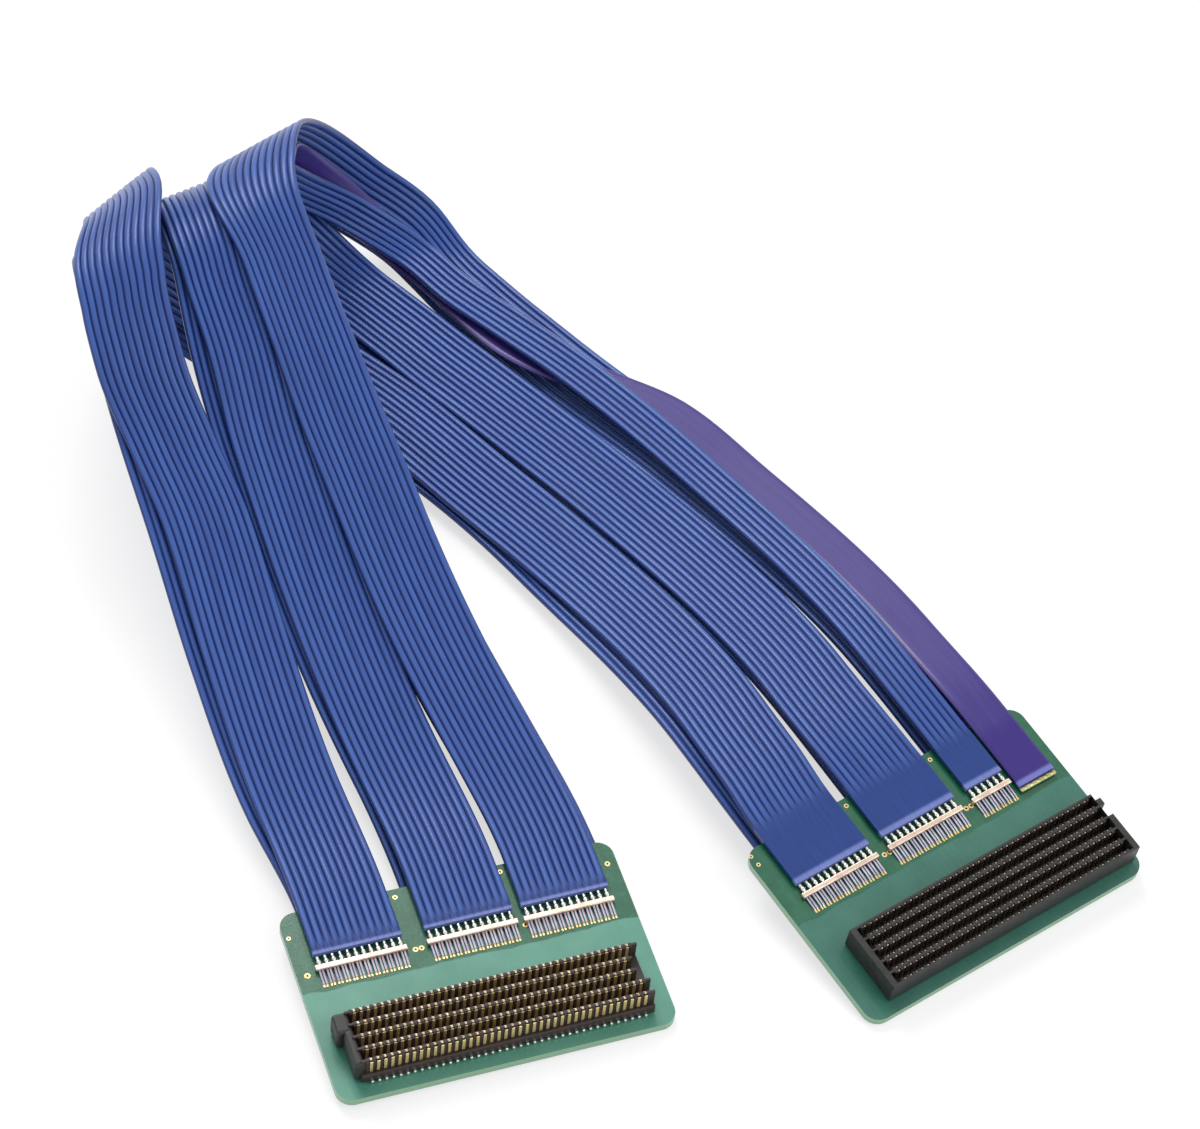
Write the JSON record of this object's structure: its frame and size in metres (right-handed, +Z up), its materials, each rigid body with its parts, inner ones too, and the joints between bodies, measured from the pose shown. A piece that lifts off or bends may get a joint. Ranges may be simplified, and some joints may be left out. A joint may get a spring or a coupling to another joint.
{
  "type": "flat ribbon cable",
  "caption": "Flat ribbon cable assembly, folded over once, with a small circuit board and a multi-row board connector at each end.",
  "frame": {"origin": "on the table, midway between the outer sides of the two boards with what they carry", "axes": "+X from the board with the header to the board with the socket, +Y to the fold, +Z up"},
  "size_m": [0.202, 0.215, 0.0495],
  "materials": {
    "board": "green coated circuit board",
    "housing": "moulded black",
    "blue_jacket": "smooth blue jacket over round cores",
    "purple_film": "smooth blue-purple film",
    "solder": "tinned and soldered"
  },
  "bodies": {
    "root": {"left_board": "board", "right_board": "board", "left_header": "housing", "right_socket": "housing", "outer_ribbon_left": "blue_jacket", "outer_ribbon_middle": "blue_jacket", "outer_ribbon_right": "blue_jacket", "inner_ribbon_left": "blue_jacket", "inner_ribbon_middle": "blue_jacket", "narrow_ribbon": "blue_jacket", "smooth_ribbon": "purple_film", "left_bar_outer_ribbon_left": "solder", "left_bar_outer_ribbon_middle": "solder", "left_bar_outer_ribbon_right": "solder", "left_bar_inner_ribbon_left": "solder", "left_bar_inner_ribbon_middle": "solder", "left_bar_narrow_ribbon": "solder", "left_solder_smooth_ribbon": "solder", "right_bar_outer_ribbon_left": "solder", "right_bar_outer_ribbon_middle": "solder", "right_bar_outer_ribbon_right": "solder", "right_bar_inner_ribbon_left": "solder", "right_bar_inner_ribbon_middle": "solder", "right_bar_narrow_ribbon": "solder", "right_solder_smooth_ribbon": "solder"}
  },
  "joints": []
}
